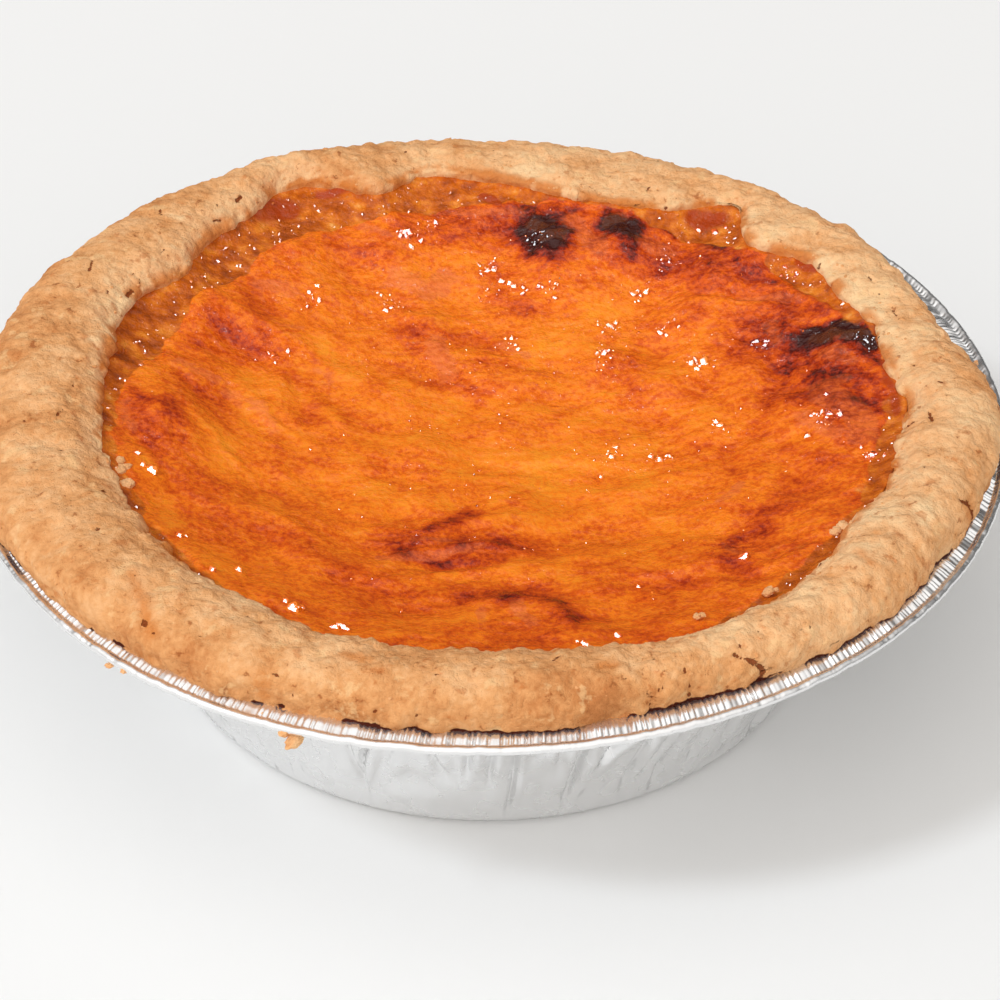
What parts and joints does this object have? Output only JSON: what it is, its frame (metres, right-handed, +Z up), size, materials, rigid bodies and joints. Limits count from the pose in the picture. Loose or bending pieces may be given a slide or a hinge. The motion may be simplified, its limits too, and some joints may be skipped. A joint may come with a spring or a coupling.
{
  "type": "mini sweet potato pie",
  "caption": "Small round sweet potato pie with a thick lumpy pastry rim and a sunken glossy baked filling, in its own pleated foil tin with a rolled bead.",
  "frame": {"origin": "middle of the flat base of the tin, on the surface it stands on", "axes": "+Z up, +X to the right and +Y away from the viewer in the pictured view"},
  "size_m": [0.126, 0.126, 0.0377],
  "materials": {
    "foil": "bright crimped foil with fine radial creases",
    "pastry": "dry crumbly golden pastry, browner outside and paler at the inner edge",
    "baked_filling": "glossy wrinkled orange skin with red-brown burnt patches"
  },
  "bodies": {
    "root": {"foil_tin": "foil", "pie_crust": "pastry", "pie_filling": "baked_filling"}
  },
  "joints": []
}
